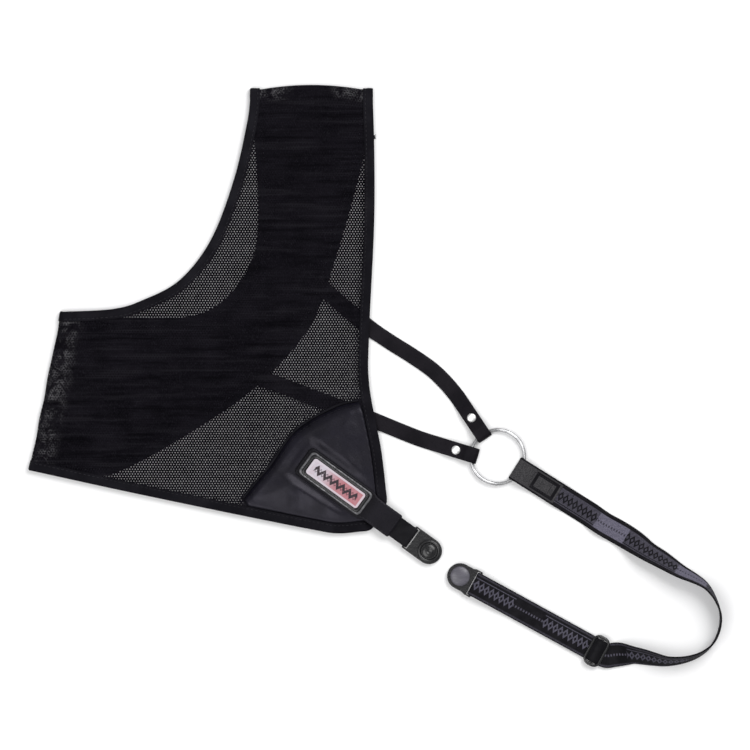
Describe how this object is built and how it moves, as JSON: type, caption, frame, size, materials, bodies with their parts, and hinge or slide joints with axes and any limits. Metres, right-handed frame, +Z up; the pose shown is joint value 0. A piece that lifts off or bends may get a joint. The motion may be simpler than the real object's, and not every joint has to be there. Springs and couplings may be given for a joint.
{
  "type": "chest guard harness",
  "caption": "One-shoulder mesh chest guard folded flat, with two straps to a ring and an elastic band that closes with a press-stud clip.",
  "frame": {"origin": "on the surface that the guard lies on, under the middle of the box round the guard, its straps, its ring and its stud clip (the free band is left out)", "axes": "+Z up out of the front panel, +Y towards the shoulder fold, +X from the side fold towards the ring"},
  "size_m": [0.5545, 0.4669, 0.0196],
  "materials": {
    "see_through_mesh": "fine black nylon mesh with staggered holes, matt",
    "stretch_knit": "dense black stretch knit with fine cross ribs, matt with a soft sheen",
    "folded_tape": "black folded elastic tape, stitched near its inner edge",
    "patch_leather": "dark grey synthetic leather, fine grain, satin",
    "tab_leather": "black synthetic leather, stitched, satin",
    "strap_leather": "brownish black synthetic leather strap, fine grain",
    "badge_rim": "moulded grey soft plastic rim",
    "badge_plate": "pale plate with plain printed shapes in muted red",
    "plain_webbing": "black woven webbing",
    "elastic_webbing": "black elastic webbing with a woven grey pattern of plain shapes",
    "clip_plastic": "black moulded plastic, satin",
    "cap_plastic": "purple-grey smooth cap, satin",
    "plated_steel": "bright nickel-plated steel",
    "socket_steel": "plain pressed steel"
  },
  "bodies": {
    "guard": {"front_panel": "see_through_mesh", "back_panel": "stretch_knit", "armhole_binding": "folded_tape", "neck_binding": "folded_tape", "hem_binding": "folded_tape", "corner_patch": "patch_leather", "patch_piping": "folded_tape", "corner_tab": "tab_leather", "badge_frame": "badge_rim", "badge_label": "badge_plate", "tab_loop": "plain_webbing", "upper_strap_root": "strap_leather", "lower_strap_root": "strap_leather"},
    "stud_half": {"stud_clip": "clip_plastic", "snap_stud": "clip_plastic"},
    "ring_straps": {"upper_strap": "strap_leather", "lower_strap": "strap_leather", "upper_rivet": "plated_steel", "lower_rivet": "plated_steel"},
    "ring": {"o_ring": "plated_steel"},
    "band": {"elastic_band": "elastic_webbing"},
    "slider": {"slider": "clip_plastic"},
    "socket_half": {"socket_clip": "clip_plastic", "snap_cap": "cap_plastic", "snap_socket": "socket_steel", "snap_spring": "socket_steel"}
  },
  "joints": [
    {"name": "stud_swing", "type": "hinge", "parent": "guard", "child": "stud_half", "pos_m": [0.10606, -0.17031, 0.0031], "axis": [-0.5878, -0.809, 0], "range_deg": [0, 100]},
    {"name": "strap_fold", "type": "hinge", "parent": "guard", "child": "ring_straps", "pos_m": [0.084, -0.045, 0.00165], "axis": [0, -1, 0], "range_deg": [0, 90]},
    {"name": "ring_spin", "type": "hinge", "parent": "ring_straps", "child": "ring", "pos_m": [0.1764, -0.1062, 0.0033], "axis": [0, 0, 1], "continuous": true},
    {"name": "band_swing", "type": "hinge", "parent": "ring_straps", "child": "band", "pos_m": [0.1764, -0.1062, 0.0033], "axis": [0, 0, 1], "range_deg": [-4, 60]},
    {"name": "slider_slide", "type": "slide", "parent": "band", "child": "slider", "axis": [-0.8771, 0.4802, 0], "range_m": [0, 0.065]},
    {"name": "socket_swing", "type": "hinge", "parent": "band", "child": "socket_half", "pos_m": [0.15903, -0.20852, 0.0032], "axis": [0.4802, 0.8771, 0], "range_deg": [0, 100]}
  ]
}
